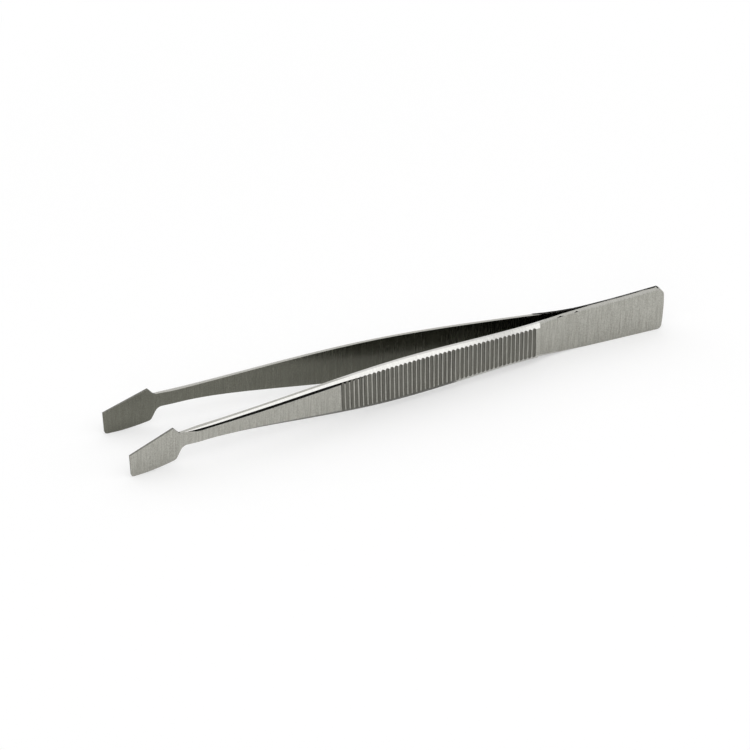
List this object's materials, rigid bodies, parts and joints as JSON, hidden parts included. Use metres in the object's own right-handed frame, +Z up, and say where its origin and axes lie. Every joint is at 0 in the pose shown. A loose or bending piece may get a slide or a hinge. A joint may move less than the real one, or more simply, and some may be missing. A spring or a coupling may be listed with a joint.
{
  "type": "membrane forceps",
  "caption": "Thumb forceps of two sprung steel arms joined at the tail, with thin slanted paddle tips, notched necks and grooved grips, lying on their long edge.",
  "frame": {"origin": "on the surface that the forceps lie on, below the middle of their outer box", "axes": "+X from the tips to the tail, +Y across the gap between the arms, +Z up from the lower edge to the upper edge"},
  "size_m": [0.1046, 0.0132, 0.009],
  "materials": {
    "satin_steel": "satin stainless steel with fine grinding lines across the arms"
  },
  "bodies": {
    "root": {"left_arm": "satin_steel", "right_arm": "satin_steel"}
  },
  "joints": []
}
